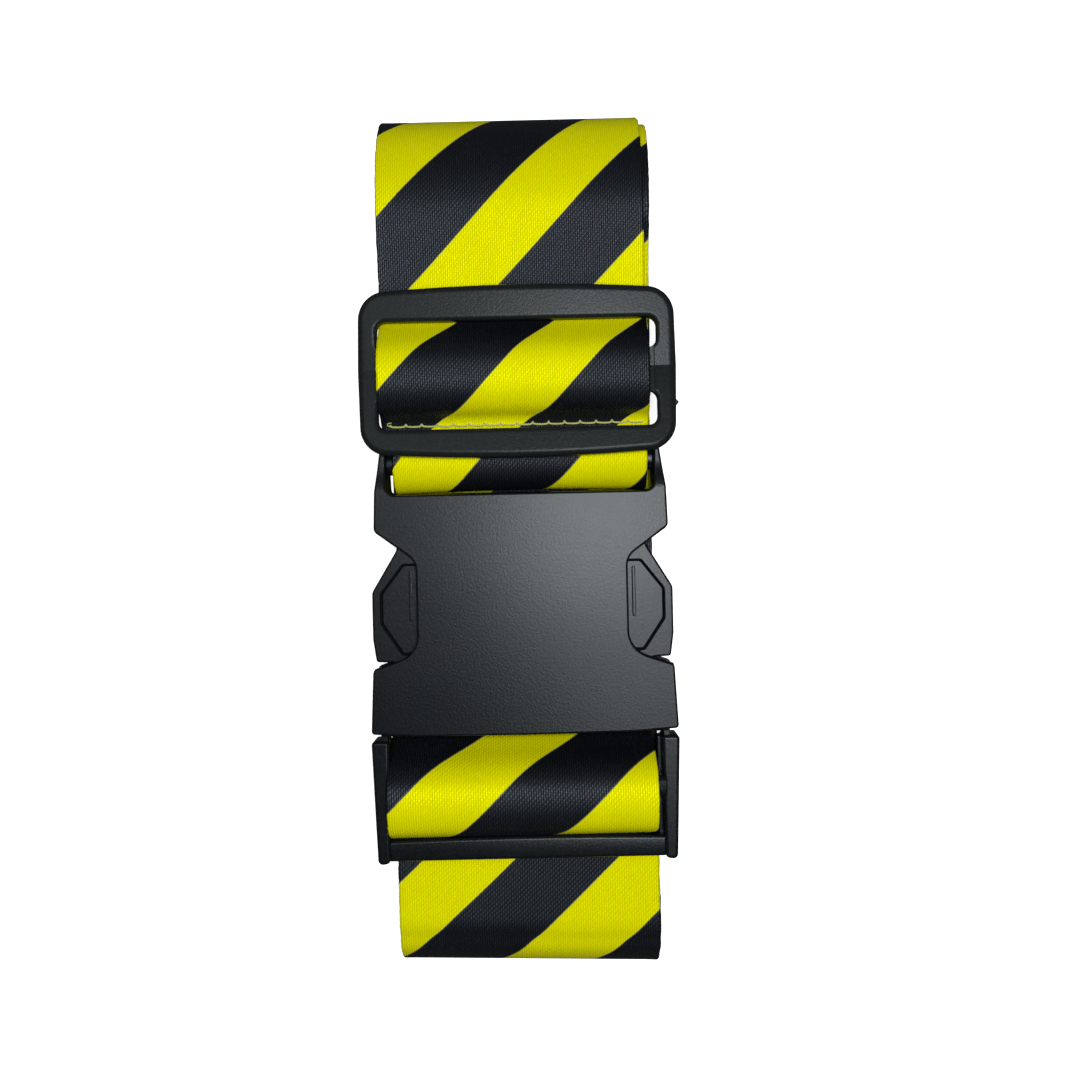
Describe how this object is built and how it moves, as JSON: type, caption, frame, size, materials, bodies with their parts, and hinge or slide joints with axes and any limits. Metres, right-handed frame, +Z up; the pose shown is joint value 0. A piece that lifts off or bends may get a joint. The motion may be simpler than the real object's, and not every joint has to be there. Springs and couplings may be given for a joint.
{
  "type": "luggage strap",
  "caption": "Wide striped webbing luggage strap folded into a flat bundle and held by its own closed side-release buckle, with a slider to set its length",
  "frame": {"origin": "on the surface that the folded bundle lies on, under the middle of the bundle", "axes": "+X across the webbing, +Y along the bundle from the plug towards the slider, +Z up, out of the buckle's front"},
  "size_m": [0.0578, 0.1624, 0.0258],
  "materials": {
    "printed_webbing": "satin polyester webbing printed with slanted yellow and near-black stripes",
    "sewing_thread": "pale yellow-green twisted thread",
    "slider_plastic": "finely grained moulded acetal",
    "buckle_plastic": "finely grained moulded acetal with a soft sheen"
  },
  "bodies": {
    "bundle": {"webbing_inner_roll": "printed_webbing", "webbing_outer_run": "printed_webbing", "webbing_top_run": "printed_webbing", "webbing_socket_loop": "printed_webbing", "buckle_socket": "buckle_plastic"},
    "slider": {"slider": "slider_plastic", "webbing_slider_hump": "printed_webbing", "webbing_sewn_end": "printed_webbing", "seam_thread": "sewing_thread"},
    "plug": {"buckle_plug": "buckle_plastic", "webbing_plug_loop": "printed_webbing"},
    "arm_left": {"release_arm_left": "buckle_plastic"},
    "arm_right": {"release_arm_right": "buckle_plastic"}
  },
  "joints": [
    {"name": "plug_slide", "type": "slide", "parent": "bundle", "child": "plug", "axis": [0, -1, 0], "range_m": [0, 0.04], "deforming": ["release_arm_left", "release_arm_right"]},
    {"name": "slider_slide", "type": "slide", "parent": "bundle", "child": "slider", "axis": [0, 1, 0], "range_m": [0, 0.012], "deforming": ["webbing_top_run"]},
    {"name": "release_arm_left_flex", "type": "hinge", "parent": "plug", "child": "arm_left", "pos_m": [-0.0224, -0.0331, 0.01485], "axis": [0, 0, -1], "range_deg": [0, 8], "stiffness_Nm_per_rad": 1.5},
    {"name": "release_arm_right_flex", "type": "hinge", "parent": "plug", "child": "arm_right", "pos_m": [0.0224, -0.0331, 0.01485], "axis": [0, 0, 1], "range_deg": [0, 8], "stiffness_Nm_per_rad": 1.5}
  ]
}
